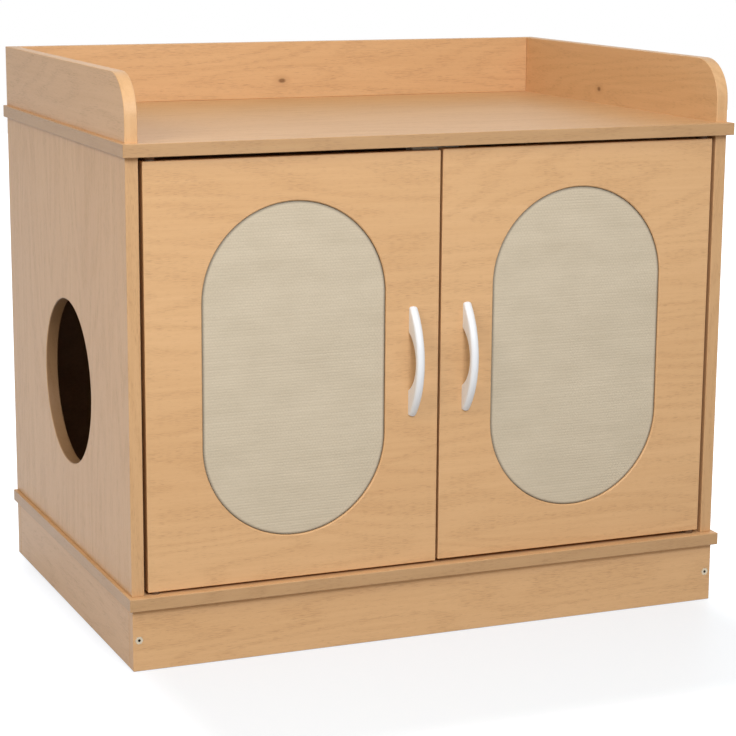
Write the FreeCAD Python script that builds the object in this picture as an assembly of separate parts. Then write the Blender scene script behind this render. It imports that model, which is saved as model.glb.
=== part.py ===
"""Cat litter box cabinet: a flat-pack cupboard with two inset doors, a round side entry,
stadium scratch pads let into the doors, a three-sided gallery on top and a hollow plinth.

Millimetres. +X is the cabinet's right, +Y its back, +Z up. The origin is on the floor, at the
middle of the whole outline, handles included. Boards are melamine-faced particle board.
"""
import FreeCAD, Part
import math
import os

V = FreeCAD.Vector
X_DIR = V(1, 0, 0)
Y_DIR = V(0, 1, 0)
Z_DIR = V(0, 0, 1)

# ---------------------------------------------------------------- driving dimensions
# carcass
board = 15.0                 # thickness of every particle board panel
board_ease = 0.6             # small bevel of the edge-banded arrises
body_width = 768.0           # over the outer faces of the side panels
body_depth = 530.0           # front edge to back edge of a side panel
side_height = 505.0          # side panels, between bottom panel and top panel
plinth_height = 74.0
plinth_forward = 2.0         # plinth front stands this far before the side panels' front edges
panel_side_overhang = 5.0    # top and bottom panels past the side panels
panel_front_overhang = 10.0
back_thickness = 3.0         # hardboard back
back_inset = 16.0            # back panel's rear face, in from the cabinet's back edge
groove_depth = 6.0
groove_play = 0.1            # on each face of the hardboard
groove_end_play = 0.8        # between the hardboard's edge and the groove's bottom

# gallery on the top panel
gallery_height = 76.0
gallery_front_radius = 50.0

# round entry in the left side panel
entry_radius = 102.0
entry_from_front = 257.0
entry_above_floor_panel = 203.5
entry_rim_ease = 1.0

# doors
door_height = 496.2
door_side_gap = 4.8
door_middle_gap = 3.2
left_door_lift = 3.2         # left door's bottom edge above the bottom panel
right_door_lift = 4.4        # the right door hangs a little higher
cutout_width = 227.0
cutout_height = 394.0
cutout_ease = 1.2

# scratch pads
pad_seam = 0.6               # open seam between cloth and cut-out
pad_recess = 1.5             # cloth face behind the door face
cloth_thickness = 1.5
core_inset = 0.7             # core's edge inside the cloth's
backing_thickness = 3.0
backing_margin = 11.0        # backing board past the cut-out
backing_play = 0.4
backing_screw_count = 6

# pivots of the doors
pivot_from_edge = 10.0
pin_radius = 3.0
pin_press_depth = 11.0       # of the pin in the top or bottom panel
running_clearance = 0.05
bush_radius = 5.0
bush_length = 14.0
bush_flange_radius = 7.0
bush_flange = 1.2
collar_radius = 6.5
lower_play = 0.3             # between bush flange and collar
upper_play = 0.5
pin_short = 2.0              # the pin ends this far inside the bush
fit_play = 0.05              # around pieces that are pressed or screwed in

# handles
handle_length = 132.0
handle_reach = 28.0
handle_width = 10.0
handle_waist = 8.0           # thickness at the middle of the bow
handle_end = 3.0             # thickness at the tips
handle_grip_span = 68.0      # finger gap at the door face
handle_hole_spacing = 96.0
handle_from_meeting_edge = 33.4
handle_front_bevel = 2.4
handle_back_ease = 1.0
handle_screw_radius = 2.0
handle_screw_bite = 9.0      # into the handle
handle_screw_head_radius = 4.2
handle_screw_head = 2.4
handle_hole_play = 0.3       # around the screws where they pass the door

# fixings
dowel_radius = 4.0
dowel_length = 30.0
dowel_in_face = 11.0
cam_radius = 7.5
cam_depth = 12.0
cam_from_end = 34.0
cam_slot = 1.6
cam_slot_depth = 1.8
bolt_thread_radius = 3.0
bolt_shaft_radius = 2.6
bolt_head_radius = 3.4
bolt_head = 3.0
bolt_head_play = 0.3
bolt_bore_radius = 4.0
fixing_end_margin = 60.0     # outermost cam to the panel's front or back edge
fixing_pitch = 50.0          # cam to dowel
rail_screw_radius = 2.0
rail_screw_length = 45.0
rail_screw_head_radius = 4.0
rail_screw_spread = 250.0    # spacing of the rear rail's three screws
confirmat_radius = 3.2
confirmat_length = 50.0
confirmat_head_radius = 5.0
confirmat_socket = 4.0       # across flats
confirmat_socket_depth = 2.5
plinth_dowel_spread = 200.0
small_screw_radius = 1.5
small_screw_head_radius = 3.0
small_screw_length = 12.0
head_sink = 0.3              # screw heads below the face they enter
screw_rim = 0.4              # cylindrical edge of a countersunk head
small_sides = 6              # facets round dowels, shanks and their bores
large_sides = 10             # facets round cams, collars, bushes and visible heads

# magnetic catch
catch_width = 60.0
catch_depth = 20.0
catch_height = 20.0
catch_ear = 12.0
catch_ear_thickness = 4.0
catch_ear_inset = 3.0
catch_corner = 1.2
catch_ear_corner = 3.5
magnet_width = 16.0
magnet_height = 6.0
magnet_depth = 14.0
magnet_proud = 1.0
magnet_play = 0.1
magnet_above_bottom = 3.0    # lower magnet face above the housing's underside
strike_thickness = 1.5
strike_width = 20.0
strike_height = 14.0
strike_corner = 2.0
strike_from_meeting_edge = 4.0
strike_below_edge = 1.0      # at least this far under the door's top edge
catch_air = 0.3              # magnet to strike plate

# ---------------------------------------------------------------- derived levels and planes
floor_panel_z = plinth_height
interior_floor = floor_panel_z + board
interior_ceiling = interior_floor + side_height
deck_z = interior_ceiling + board
gallery_top = deck_z + gallery_height
front_y = -(body_depth - handle_reach) / 2
back_y = front_y + body_depth
plinth_front_y = front_y - plinth_forward
side_outer = body_width / 2
side_inner = side_outer - board
side_centre = side_outer - board / 2
door_outer = side_inner - door_side_gap
door_inner = door_middle_gap / 2
door_back_y = front_y + board
pivot_x = door_outer - pivot_from_edge
pivot_y = front_y + board / 2
cutout_x = (door_outer + door_inner) / 2
handle_x = door_inner + handle_from_meeting_edge
groove_front_y = back_y - back_inset - back_thickness - groove_play
groove_back_y = back_y - back_inset + groove_play
backing_y = door_back_y - backing_thickness
entry_y = front_y + entry_from_front
entry_z = interior_floor + entry_above_floor_panel
catch_y = door_back_y + strike_thickness + catch_air + magnet_proud
dowel_in_end = dowel_length - dowel_in_face


# ---------------------------------------------------------------- helpers
def block(x0, x1, y0, y1, z0, z1):
    return Part.makeBox(x1 - x0, y1 - y0, z1 - z0, V(x0, y0, z0))


def eased_block(x0, x1, y0, y1, z0, z1, radius=board_ease):
    """A board whose arrises are all lightly broken, as edge banding is."""
    solid = block(x0, x1, y0, y1, z0, z1)
    return solid.makeChamfer(radius, solid.Edges)


def rod(radius, start, direction, length):
    return Part.makeCylinder(radius, length, start, direction)


def mirrored(shape):
    return shape.mirror(V(0, 0, 0), X_DIR)


def both_sides(shapes):
    """The left side's shapes and their mirror images on the right."""
    return shapes + [mirrored(shape) for shape in shapes]


def cut_all(solid, tools):
    return solid.cut(Part.makeCompound(tools)) if tools else solid


def ring(radius, centre, direction, sides):
    """Corners of a regular polygon square to direction."""
    side = X_DIR if abs(direction.x) < 0.5 else Y_DIR
    across = direction.cross(side)
    step = 2 * math.pi / sides
    return [centre + side * radius * math.cos(step * k) + across * radius * math.sin(step * k)
            for k in range(sides)]


def turned(points, start, direction, sides=small_sides):
    """A turned piece with flat facets: points are (radius, distance along direction)."""
    rings = [ring(radius, start + direction * along, direction, sides) for radius, along in points]
    outlines = [rings[0], rings[-1]]
    for near, far in zip(rings, rings[1:]):
        for k in range(sides):
            after = (k + 1) % sides
            outlines.append([near[k], near[after], far[after], far[k]])
    faces = [Part.Face(Part.makePolygon(outline + outline[:1])) for outline in outlines]
    solid = Part.makeSolid(Part.makeShell(faces))
    if solid.Volume < 0:
        solid.reverse()
    return solid


def peg(radius, start, direction, length, sides=small_sides):
    return turned([(radius, 0), (radius, length)], start, direction, sides)


def countersunk_screw(start, direction, radius, head_radius, length):
    """A countersunk wood screw; start is the middle of its head, direction its way in."""
    neck = screw_rim + head_radius - radius
    return turned([(head_radius, 0), (head_radius, screw_rim), (radius, neck),
                   (radius, length - 2 * radius), (radius * 0.2, length)], start, direction)


def countersunk_bore(start, direction, radius, head_radius, length):
    """Room for a countersunk screw whose head lies head_sink under the surface at start."""
    rim = head_sink + screw_rim + fit_play
    neck = rim + head_radius - radius
    return turned([(head_radius + fit_play, -1.0), (head_radius + fit_play, rim),
                   (radius + fit_play, neck), (radius + fit_play, length)], start, direction)


def sunk(start, direction):
    return start + direction * head_sink


def stadium_prism(centre_x, centre_z, width, height, y0, y1):
    """A stadium outline in the XZ plane, straight flanks and half-round ends, pushed along Y."""
    radius = width / 2
    straight = height / 2 - radius
    low = centre_z - straight
    high = centre_z + straight
    left, right = centre_x - radius, centre_x + radius
    edges = [Part.LineSegment(V(right, y0, low), V(right, y0, high)).toShape(),
             Part.Arc(V(right, y0, high), V(centre_x, y0, high + radius), V(left, y0, high)).toShape(),
             Part.LineSegment(V(left, y0, high), V(left, y0, low)).toShape(),
             Part.Arc(V(left, y0, low), V(centre_x, y0, low - radius), V(right, y0, low)).toShape()]
    return Part.Face(Part.Wire(edges)).extrude(V(0, y1 - y0, 0))


# ---------------------------------------------------------------- where the fixings go
def cam_rows():
    return [front_y + fixing_end_margin, back_y - fixing_end_margin]


def dowel_rows():
    return [front_y + fixing_end_margin + fixing_pitch, back_y - fixing_end_margin - fixing_pitch]


def gallery_screw_rows():
    return [front_y + fixing_end_margin + fixing_pitch / 2, back_y - fixing_end_margin - fixing_pitch / 2]


def plinth_dowel_rows():
    return [front_y + body_depth * 0.3, back_y - body_depth * 0.3]


def side_joints():
    """Both ends of a side panel: (z of the joint face, direction from it into the side panel)."""
    return [(interior_floor, Z_DIR), (interior_ceiling, Z_DIR * -1)]


def side_dowels(play=0.0):
    """Dowels between the left side panel and the top and bottom panels."""
    dowels = []
    for z, inward in side_joints():
        for y in dowel_rows():
            start = V(-side_centre, y, z) - inward * (dowel_in_face + play)
            dowels.append(peg(dowel_radius - fit_play + play, start, inward, dowel_length + 2 * play))
    return dowels


def gallery_dowels(play=0.0):
    """One dowel from the left gallery rail into the end of the rear rail."""
    start = V(-side_inner - dowel_in_face - play, back_y - board / 2, deck_z + gallery_height / 2)
    return [peg(dowel_radius - fit_play + play, start, X_DIR, dowel_length + 2 * play)]


def plinth_dowels(play=0.0):
    """Dowels between the plinth's boards and the bottom panel, all of them."""
    front_and_back = [V(x, y, 0) for x in (-plinth_dowel_spread, plinth_dowel_spread)
                      for y in (plinth_front_y + board / 2, back_y - board / 2)]
    flanks = [V(x, y, 0) for x in (-side_centre, side_centre) for y in plinth_dowel_rows()]
    length = dowel_length + 2 * play
    base = V(0, 0, floor_panel_z - dowel_in_end - play)
    return [peg(dowel_radius - fit_play + play, spot + base, Z_DIR, length)
            for spot in front_and_back + flanks]


def gallery_screw_heads():
    """Screws driven up through the top panel: middles of their countersinks."""
    flanks = [V(x, y, interior_ceiling) for x in (-side_centre, side_centre) for y in gallery_screw_rows()]
    rear = [V(x, back_y - board / 2, interior_ceiling)
            for x in (-rail_screw_spread, 0, rail_screw_spread)]
    return flanks + rear


def gallery_screw_bores():
    return [countersunk_bore(spot, Z_DIR, rail_screw_radius, rail_screw_head_radius,
                             rail_screw_length + head_sink + 1.0) for spot in gallery_screw_heads()]


def plinth_screw_spots():
    """Screws through the plinth's front and back boards into the ends of its side boards."""
    height = plinth_height / 2
    return [(V(x, y, height), inward) for x in (-side_centre, side_centre)
            for y, inward in ((plinth_front_y, Y_DIR), (back_y, Y_DIR * -1))]


def plinth_screw_bores():
    return [countersunk_bore(spot, inward, confirmat_radius, confirmat_head_radius,
                             confirmat_length + head_sink + 1.0) for spot, inward in plinth_screw_spots()]


# ---------------------------------------------------------------- carcass boards
def cam_spots():
    """Cams in the left side panel: (middle of the visible face, way to its bolt)."""
    return [(V(-side_inner, y, z + inward.z * cam_from_end), inward * -1)
            for z, inward in side_joints() for y in cam_rows()]


def side_panel():
    """The left side panel without its entry: cam bores, bolt bores, dowel bores, back groove."""
    panel = eased_block(-side_outer, -side_inner, front_y, back_y, interior_floor, interior_ceiling)
    tools = side_dowels(fit_play)
    for spot, to_bolt in cam_spots():
        tools.append(peg(cam_radius, spot + X_DIR, X_DIR * -1, cam_depth + head_sink + 1, large_sides))
        start = V(-side_centre, spot.y, spot.z)
        tools.append(peg(bolt_bore_radius, start, to_bolt, cam_from_end + 1.0))
    tools.append(block(-side_inner - groove_depth, -side_inner + 1, groove_front_y, groove_back_y,
                       interior_floor - 1, interior_ceiling + 1))
    return cut_all(panel, tools)


def left_side_panel():
    """The side panel with the round cat entry, its rim bevelled on both faces."""
    opening = rod(entry_radius, V(-side_outer - 1, entry_y, entry_z), X_DIR, board + 2)
    panel = side_panel().cut(opening)
    rims = [edge for edge in panel.Edges if edge.BoundBox.XLength < 0.01
            and abs(edge.BoundBox.YLength - 2 * entry_radius) < 0.5]
    return panel.makeChamfer(entry_rim_ease, rims)


def spread_panel(z0):
    """A top or bottom panel: it covers the side panels and stands past them."""
    return eased_block(-side_outer - panel_side_overhang, side_outer + panel_side_overhang,
                       front_y - panel_front_overhang, back_y, z0, z0 + board)


def face_bores(z, upward):
    """Bores in the face of the top or bottom panel that meets the side panels."""
    tools = both_sides(side_dowels(fit_play))
    for y in cam_rows():
        start = V(-side_centre, y, z)
        tools += both_sides([peg(bolt_thread_radius + fit_play, start, upward, dowel_in_face + fit_play)])
    for x in (-pivot_x, pivot_x):
        start = V(x, pivot_y, z)
        tools.append(peg(pin_radius + fit_play, start, upward, pin_press_depth + fit_play, large_sides))
    tools.append(back_groove(z, upward))
    return tools


def back_groove(z, upward):
    low, high = sorted((z - upward.z, z + upward.z * groove_depth))
    reach = side_inner + groove_depth
    return block(-reach, reach, groove_front_y, groove_back_y, low, high)


def bottom_panel():
    tools = face_bores(interior_floor, Z_DIR * -1) + plinth_dowels(fit_play)
    return cut_all(spread_panel(floor_panel_z), tools)


def top_panel():
    tools = face_bores(interior_ceiling, Z_DIR) + gallery_screw_bores() + catch_screw_bores()
    return cut_all(spread_panel(interior_ceiling), tools)


def back_panel():
    reach = groove_depth - groove_end_play
    return block(-side_inner - reach, side_inner + reach,
                 back_y - back_inset - back_thickness, back_y - back_inset,
                 interior_floor - reach, interior_ceiling + reach)


# ---------------------------------------------------------------- gallery
def side_gallery_rail():
    """Left rail: a board on edge whose front top corner is a quarter round."""
    r = gallery_front_radius
    shoulder = r * math.sqrt(0.5)
    x = -side_outer
    edges = [Part.LineSegment(V(x, front_y, deck_z), V(x, front_y, gallery_top - r)).toShape(),
             Part.Arc(V(x, front_y, gallery_top - r),
                      V(x, front_y + r - shoulder, gallery_top - r + shoulder),
                      V(x, front_y + r, gallery_top)).toShape(),
             Part.LineSegment(V(x, front_y + r, gallery_top), V(x, back_y, gallery_top)).toShape(),
             Part.LineSegment(V(x, back_y, gallery_top), V(x, back_y, deck_z)).toShape(),
             Part.LineSegment(V(x, back_y, deck_z), V(x, front_y, deck_z)).toShape()]
    rail = Part.Face(Part.Wire(edges)).extrude(V(board, 0, 0))
    arrises = [edge for edge in rail.Edges if edge.BoundBox.XLength < 0.01
               and edge.BoundBox.ZMax > deck_z + 0.01]
    rail = rail.makeChamfer(board_ease, arrises)
    return cut_all(rail, gallery_dowels(fit_play) + gallery_screw_bores())


def rear_gallery_rail():
    rail = eased_block(-side_inner, side_inner, back_y - board, back_y, deck_z, gallery_top)
    return cut_all(rail, both_sides(gallery_dowels(fit_play)) + gallery_screw_bores())


# ---------------------------------------------------------------- plinth
def plinth_cross_board(y0):
    board_solid = eased_block(-side_outer, side_outer, y0, y0 + board, 0, plinth_height)
    return cut_all(board_solid, plinth_dowels(fit_play) + plinth_screw_bores())


def plinth_side_board():
    board_solid = eased_block(-side_outer, -side_inner, plinth_front_y + board, back_y - board,
                              0, plinth_height)
    return cut_all(board_solid, plinth_dowels(fit_play) + plinth_screw_bores())


# ---------------------------------------------------------------- fixings
def cam(spot, to_bolt):
    """A cam disc: drum with a driver cross and the pocket that grips the bolt's head."""
    face = spot + X_DIR * -head_sink
    drum = peg(cam_radius - fit_play, face, X_DIR * -1, cam_depth, large_sides)
    axle = V(-side_centre, spot.y, spot.z)
    room = bolt_head_radius + bolt_head_play
    pocket = peg(room, axle - to_bolt * room, to_bolt, cam_radius * 2)
    arm = cam_radius * 0.6
    bars = [block(face.x - cam_slot_depth, face.x + 1, face.y - a, face.y + a, face.z - b, face.z + b)
            for a, b in ((arm, cam_slot / 2), (cam_slot / 2, arm))]
    return drum.cut(pocket).cut(bars[0].fuse(bars[1]))


def cam_bolt(spot, to_bolt):
    """The steel bolt that stands out of the top or bottom panel and ends in the cam."""
    tip = V(-side_centre, spot.y, spot.z) - to_bolt * (bolt_head / 2)
    face = cam_from_end + bolt_head / 2
    return turned([(bolt_head_radius, 0), (bolt_head_radius, bolt_head), (bolt_shaft_radius, bolt_head),
                   (bolt_shaft_radius, face), (bolt_thread_radius, face),
                   (bolt_thread_radius, face + dowel_in_face)], tip, to_bolt)


def confirmat(spot, inward):
    """A confirmat screw with a hexagon socket in its countersunk head."""
    neck = screw_rim + confirmat_head_radius - confirmat_radius
    screw = turned([(confirmat_head_radius, 0), (confirmat_head_radius, screw_rim),
                    (confirmat_radius, neck), (confirmat_radius, confirmat_length - 3.0),
                    (confirmat_radius * 0.3, confirmat_length)], spot, inward)
    corner = confirmat_socket / math.sqrt(3)
    return screw.cut(peg(corner, spot - inward, inward, 1 + confirmat_socket_depth, 6))


# ---------------------------------------------------------------- magnetic catch
def catch_screw_spots():
    x = catch_width / 2 + catch_ear / 2
    y = catch_y + catch_depth / 2
    return [V(side * x, y, interior_ceiling - catch_ear_thickness) for side in (-1, 1)]


def catch_screw_bores():
    return [countersunk_bore(spot, Z_DIR, small_screw_radius, small_screw_head_radius,
                             small_screw_length + head_sink + 0.5) for spot in catch_screw_spots()]


def magnet_rooms(play):
    """The two magnets, or the rooms that hold them."""
    z0 = interior_ceiling - catch_height + magnet_above_bottom
    centre = strike_centre_x()
    left = block(-centre - magnet_width / 2 - play, -centre + magnet_width / 2 + play,
                 catch_y - magnet_proud - play, catch_y - magnet_proud + magnet_depth + play,
                 z0 - play, z0 + magnet_height + play)
    return both_sides([left])


def catch_housing():
    """Moulded housing with an ear at each end, screwed up under the top panel."""
    low = interior_ceiling - catch_height
    half = catch_width / 2
    shell = block(-half, half, catch_y, catch_y + catch_depth, low, interior_ceiling)
    corners = [edge for edge in shell.Edges if edge.BoundBox.ZMax < interior_ceiling - 0.01
               or edge.BoundBox.ZLength > catch_height / 2]
    shell = shell.makeChamfer(catch_corner, corners)
    ears = block(-half - catch_ear, half + catch_ear, catch_y + catch_ear_inset,
                 catch_y + catch_depth - catch_ear_inset,
                 interior_ceiling - catch_ear_thickness, interior_ceiling)
    uprights = [edge for edge in ears.Edges if edge.BoundBox.ZLength > catch_ear_thickness / 2]
    ears = ears.makeChamfer(catch_ear_corner, uprights)
    return cut_all(shell.fuse(ears).removeSplitter(), magnet_rooms(magnet_play) + catch_screw_bores())


def strike_centre_x():
    return door_inner + strike_from_meeting_edge + strike_width / 2


# ---------------------------------------------------------------- doors, drawn for the left
def cutout_z(lift):
    return interior_floor + lift + door_height / 2


def backing_screw_spots(lift):
    """Small screws round the backing board: two on each flank, one at the head and the foot."""
    ring = cutout_width / 2 + backing_margin / 2
    rise = cutout_height / 2 + backing_margin / 2
    centre_z = cutout_z(lift)
    spots = []
    for step in range(backing_screw_count):
        angle = math.radians(90 + 360 * step / backing_screw_count)
        end = math.sin(angle) * ring
        straight = math.copysign(rise - ring, end)
        spots.append(V(-cutout_x + math.cos(angle) * ring, door_back_y, centre_z + straight + end))
    return spots


def handle_screw_rows(lift):
    return [cutout_z(lift) + side * handle_hole_spacing / 2 for side in (-1, 1)]


def door_panel(lift):
    """The door: stadium cut-out, rebate for the backing, bush bores, handle holes."""
    z0 = interior_floor + lift
    panel = eased_block(-door_outer, -door_inner, front_y, door_back_y, z0, z0 + door_height)
    centre_z = cutout_z(lift)
    panel = panel.cut(stadium_prism(-cutout_x, centre_z, cutout_width, cutout_height,
                                    front_y - 1, door_back_y + 1))
    rim = [edge for edge in panel.Edges if abs(edge.BoundBox.YMax - front_y) < 0.01
           and abs(edge.CenterOfMass.x + cutout_x) < cutout_width / 2 + 1
           and edge.BoundBox.XMin > -cutout_x - cutout_width / 2 - 1
           and edge.BoundBox.XMax < -cutout_x + cutout_width / 2 + 1]
    panel = panel.makeChamfer(cutout_ease, rim)
    margin = 2 * (backing_margin + backing_play)
    tools = [stadium_prism(-cutout_x, centre_z, cutout_width + margin, cutout_height + margin,
                           backing_y, door_back_y + 1)]
    tools += [peg(bush_radius + fit_play, V(-pivot_x, pivot_y, z), into, bush_length + fit_play, large_sides)
              for z, into in ((z0, Z_DIR), (z0 + door_height, Z_DIR * -1))]
    tools += [peg(handle_screw_radius + handle_hole_play, V(-handle_x, front_y - 1, z), Y_DIR, board + 2)
              for z in handle_screw_rows(lift)]
    tools += [peg(small_screw_radius + fit_play, V(spot.x, backing_y + 1, spot.z), Y_DIR * -1,
                  small_screw_length - backing_thickness + 1.5) for spot in backing_screw_spots(lift)]
    strike = strike_screw_spot(lift)
    tools.append(peg(small_screw_radius + fit_play, strike, Y_DIR * -1, small_screw_length))
    return cut_all(panel, tools)


def pad_cloth(lift):
    """Woven cloth, drawn over the front of the pad's core."""
    shrink = 2 * pad_seam
    face_y = front_y + pad_recess
    return stadium_prism(-cutout_x, cutout_z(lift), cutout_width - shrink, cutout_height - shrink,
                         face_y, face_y + cloth_thickness)


def pad_core(lift):
    shrink = 2 * (pad_seam + core_inset)
    return stadium_prism(-cutout_x, cutout_z(lift), cutout_width - shrink, cutout_height - shrink,
                         front_y + pad_recess + cloth_thickness, backing_y)


def pad_backing(lift):
    grow = 2 * backing_margin
    board_solid = stadium_prism(-cutout_x, cutout_z(lift), cutout_width + grow, cutout_height + grow,
                                backing_y, door_back_y)
    bores = [countersunk_bore(spot, Y_DIR * -1, small_screw_radius, small_screw_head_radius,
                              small_screw_length) for spot in backing_screw_spots(lift)]
    return cut_all(board_solid, bores)


def backing_screws(lift):
    return [countersunk_screw(sunk(spot, Y_DIR * -1), Y_DIR * -1, small_screw_radius,
                              small_screw_head_radius, small_screw_length)
            for spot in backing_screw_spots(lift)]


def bow_handle(lift):
    """A bow: one long outer arc, a shorter arch for the fingers, and two solid feet."""
    z = cutout_z(lift)
    half = handle_length / 2
    grip = handle_grip_span / 2
    x = -handle_x - handle_width / 2
    crown = front_y - handle_reach
    edges = [Part.LineSegment(V(x, front_y, z - half), V(x, front_y - handle_end, z - half)).toShape(),
             Part.Arc(V(x, front_y - handle_end, z - half), V(x, crown, z),
                      V(x, front_y - handle_end, z + half)).toShape(),
             Part.LineSegment(V(x, front_y - handle_end, z + half), V(x, front_y, z + half)).toShape(),
             Part.LineSegment(V(x, front_y, z + half), V(x, front_y, z + grip)).toShape(),
             Part.Arc(V(x, front_y, z + grip), V(x, crown + handle_waist, z),
                      V(x, front_y, z - grip)).toShape(),
             Part.LineSegment(V(x, front_y, z - grip), V(x, front_y, z - half)).toShape()]
    bow = Part.Face(Part.Wire(edges)).extrude(V(handle_width, 0, 0))
    outer = [edge for edge in bow.Edges if abs(edge.BoundBox.YMin - crown) < 0.01
             and edge.BoundBox.XLength < 0.01]
    bow = bow.makeChamfer(handle_front_bevel, outer)
    waist_y = crown + handle_waist
    arch = [edge for edge in bow.Edges if abs(edge.BoundBox.YMin - waist_y) < 0.01
            and edge.BoundBox.XLength < 0.01]
    bow = bow.makeChamfer(handle_back_ease, arch)
    bores = [peg(handle_screw_radius + fit_play, V(-handle_x, front_y + 1, row), Y_DIR * -1,
                 handle_screw_bite + 2) for row in handle_screw_rows(lift)]
    return cut_all(bow, bores)


def handle_screws(lift):
    """Pan-head machine screws from behind the door."""
    r, head = handle_screw_head_radius, handle_screw_head
    shank = head + board + handle_screw_bite
    points = [(r * 0.6, 0), (r * 0.9, head * 0.35), (r, head * 0.75), (r, head),
              (handle_screw_radius, head), (handle_screw_radius, shank)]
    return [turned(points, V(-handle_x, door_back_y + head, z), Y_DIR * -1)
            for z in handle_screw_rows(lift)]


def pivot_bushes(lift):
    """Flanged nylon bushes in the door's lower and upper edges."""
    z0 = interior_floor + lift
    bushes = []
    for z, into in ((z0, Z_DIR), (z0 + door_height, Z_DIR * -1)):
        start = V(-pivot_x, pivot_y, z)
        body = turned([(bush_flange_radius, -bush_flange), (bush_flange_radius, 0), (bush_radius, 0),
                       (bush_radius, bush_length)], start, into, large_sides)
        hole = rod(pin_radius + running_clearance, start - into * (bush_flange + 1), into,
                   bush_length + bush_flange + 2)
        bushes.append(body.cut(hole))
    return bushes


def pivot_pins(lift):
    """Steel pins pressed into the bottom and top panels; the lower collar carries the door."""
    upper_gap = side_height - door_height - lift
    pins = []
    for z, into, gap, play in ((interior_floor, Z_DIR, lift, lower_play),
                               (interior_ceiling, Z_DIR * -1, upper_gap, upper_play)):
        start = V(-pivot_x, pivot_y, z)
        collar = gap - bush_flange - play
        foot = turned([(pin_radius, -pin_press_depth), (pin_radius, 0), (collar_radius, 0),
                       (collar_radius, collar)], start, into, large_sides)
        shaft = rod(pin_radius, start + into * collar, into, gap + bush_length - pin_short - collar)
        pins.append(foot.fuse(shaft))
    return pins


def strike_screw_spot(lift):
    """Opposite the magnet, and on the door."""
    highest = interior_floor + lift + door_height - strike_below_edge - strike_height / 2
    magnet_z = interior_ceiling - catch_height + magnet_above_bottom + magnet_height / 2
    return V(-strike_centre_x(), door_back_y, min(magnet_z, highest))


def strike_plate(lift):
    """Zinc-plated plate that the magnet holds, with one countersunk hole."""
    spot = strike_screw_spot(lift)
    plate = block(spot.x - strike_width / 2, spot.x + strike_width / 2, door_back_y,
                  door_back_y + strike_thickness, spot.z - strike_height / 2, spot.z + strike_height / 2)
    corners = [edge for edge in plate.Edges if edge.BoundBox.YLength > strike_thickness / 2]
    plate = plate.makeChamfer(strike_corner, corners)
    outer, inner = small_screw_head_radius + fit_play, small_screw_radius + fit_play
    hole = turned([(outer, -1), (outer, 0), (inner, strike_thickness), (inner, strike_thickness + 1)],
                  spot + Y_DIR * strike_thickness, Y_DIR * -1)
    return plate.cut(hole)


def strike_screw(lift):
    start = strike_screw_spot(lift) + Y_DIR * (strike_thickness - fit_play)
    return turned([(small_screw_head_radius, 0), (small_screw_radius, strike_thickness),
                   (small_screw_radius, small_screw_length - 3.0),
                   (small_screw_radius * 0.2, small_screw_length)], start, Y_DIR * -1)


# ---------------------------------------------------------------- the whole cabinet
def carcass():
    nodes = {"left_side_panel": left_side_panel(), "right_side_panel": mirrored(side_panel()),
             "bottom_panel": bottom_panel(), "top_panel": top_panel(), "back_panel": back_panel(),
             "left_gallery_rail": side_gallery_rail(), "right_gallery_rail": mirrored(side_gallery_rail()),
             "rear_gallery_rail": rear_gallery_rail(),
             "plinth_front_board": plinth_cross_board(plinth_front_y),
             "plinth_rear_board": plinth_cross_board(back_y - board),
             "plinth_left_board": plinth_side_board(),
             "plinth_right_board": mirrored(plinth_side_board())}
    return nodes


def fixings():
    cams = [cam(spot, to_bolt) for spot, to_bolt in cam_spots()]
    bolts = [cam_bolt(spot, to_bolt) for spot, to_bolt in cam_spots()]
    gallery_screws = [countersunk_screw(sunk(spot, Z_DIR), Z_DIR, rail_screw_radius,
                                        rail_screw_head_radius, rail_screw_length)
                      for spot in gallery_screw_heads()]
    plinth_screws = [confirmat(sunk(spot, inward), inward) for spot, inward in plinth_screw_spots()]
    right_pins = [mirrored(pin) for pin in pivot_pins(right_door_lift)]
    catch_screws = [countersunk_screw(sunk(spot, Z_DIR), Z_DIR, small_screw_radius,
                                      small_screw_head_radius, small_screw_length)
                    for spot in catch_screw_spots()]
    return {"side_cam_locks": both_sides(cams), "side_cam_bolts": both_sides(bolts),
            "side_dowels": both_sides(side_dowels()), "gallery_dowels": both_sides(gallery_dowels()),
            "plinth_dowels": plinth_dowels(), "gallery_screws": gallery_screws,
            "plinth_screws": plinth_screws, "catch_housing": catch_housing(),
            "catch_magnets": magnet_rooms(0.0), "catch_screws": catch_screws,
            "door_pivot_pins": pivot_pins(left_door_lift) + right_pins}


def door_set(side, lift):
    """Every piece that one door carries; the right door's are mirrored from the left's drawing."""
    pieces = {"door_panel": [door_panel(lift)], "pad_cloth": [pad_cloth(lift)],
              "pad_core": [pad_core(lift)], "pad_backing": [pad_backing(lift)],
              "backing_screws": backing_screws(lift), "handle": [bow_handle(lift)],
              "handle_screws": handle_screws(lift), "pivot_bushes": pivot_bushes(lift),
              "strike_plate": [strike_plate(lift)], "strike_screw": [strike_screw(lift)]}
    if side == "right":
        pieces = {name: [mirrored(solid) for solid in solids] for name, solids in pieces.items()}
    return {f"{side}_{name}": solids for name, solids in pieces.items()}


def main():
    nodes = {**carcass(), **fixings(), **door_set("left", left_door_lift),
             **door_set("right", right_door_lift)}
    os.makedirs("parts", exist_ok=True)
    for name, shape in nodes.items():
        solids = shape if isinstance(shape, list) else [shape]
        node = solids[0] if len(solids) == 1 else Part.makeCompound(solids)
        node.exportStep(f"parts/{name}.step")
    print(len(nodes), "nodes; overall",
          round(body_width + 2 * panel_side_overhang, 1), "x",
          round(body_depth + handle_reach, 1), "x", round(gallery_top, 1))


main()
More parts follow.
